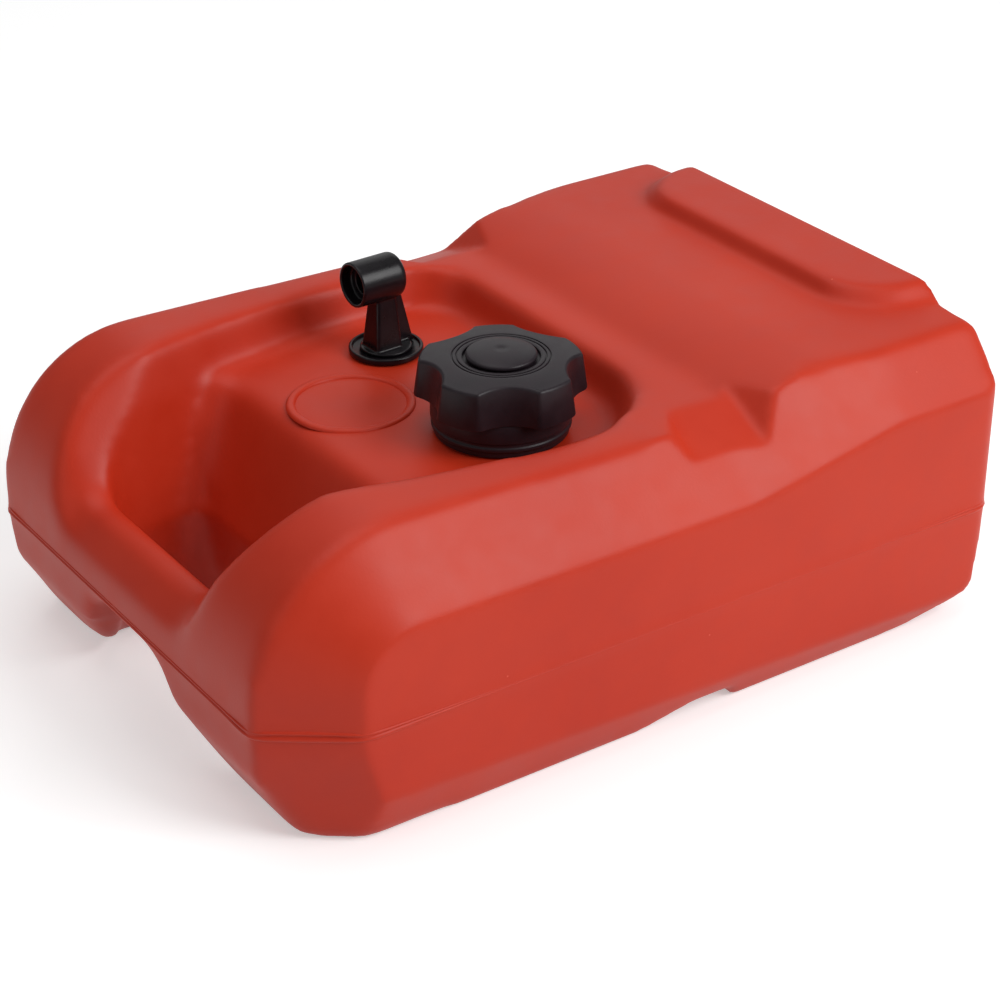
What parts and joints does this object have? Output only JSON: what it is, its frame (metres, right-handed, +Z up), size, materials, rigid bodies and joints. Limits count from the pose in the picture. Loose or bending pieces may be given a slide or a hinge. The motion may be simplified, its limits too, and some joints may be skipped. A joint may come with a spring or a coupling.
{
  "type": "outboard fuel tank",
  "caption": "Low portable outboard fuel tank, one hollow moulding with a carrying handle, a lobed vented screw cap and a swivelling fuel pickup elbow.",
  "frame": {"origin": "middle of the tank's outline on the plane it stands on", "axes": "+X from the carrying handle to the rear wall, +Y to the side with the fuel pickup, +Z up"},
  "size_m": [0.406, 0.302, 0.1724],
  "materials": {
    "tank_red": "satin, fine moulded grain",
    "cap_black": "satin",
    "pickup_black": "gloss",
    "seal_rubber": "matt",
    "natural_plastic": "natural, slightly waxy",
    "tube_black": "matt",
    "spring_steel": "bright stainless wire"
  },
  "bodies": {
    "tank": {"tank_shell": "tank_red", "pickup_gasket": "seal_rubber", "pickup_flange": "pickup_black"},
    "swivel": {"pickup_elbow": "pickup_black", "pickup_orings": "seal_rubber", "pickup_clip": "spring_steel", "dip_tube": "tube_black", "pickup_strainer": "natural_plastic"},
    "tether": {"tether_strap": "tube_black", "tether_toggle": "tube_black"},
    "cap": {"cap_core": "cap_black", "ratchet_ring": "natural_plastic", "cap_knob": "cap_black", "cap_disc": "cap_black", "cap_clip": "spring_steel", "neck_gasket": "seal_rubber", "vent_housing": "natural_plastic", "vent_spring": "spring_steel", "vent_cover": "natural_plastic", "splash_baffle": "natural_plastic", "tether_button": "tube_black"},
    "poppet": {"vent_poppet": "natural_plastic", "poppet_seal": "seal_rubber", "vacuum_valve": "seal_rubber"}
  },
  "joints": [
    {"name": "pickup_swivel", "type": "hinge", "parent": "tank", "child": "swivel", "pos_m": [-0.0185, 0.06, 0.124], "axis": [0, 0, 1], "continuous": true},
    {"name": "cap_rise", "type": "slide", "parent": "tank", "child": "tether", "axis": [0, 0, 1], "range_m": [0, 0.0076]},
    {"name": "cap_turn", "type": "hinge", "parent": "tether", "child": "cap", "pos_m": [-0.0185, -0.0415, 0.13], "axis": [0, 0, 1], "range_deg": [0, 450]},
    {"name": "vent_lift", "type": "slide", "parent": "cap", "child": "poppet", "axis": [0, 0, 1], "range_m": [0, 0.0024], "stiffness_N_per_m": 250, "springref_m": -0.004, "deforming": ["vent_spring"]}
  ],
  "couplings": [
    {"joint": "cap_rise", "follows": "cap_turn", "m_per_rad": 0.00095493}
  ]
}
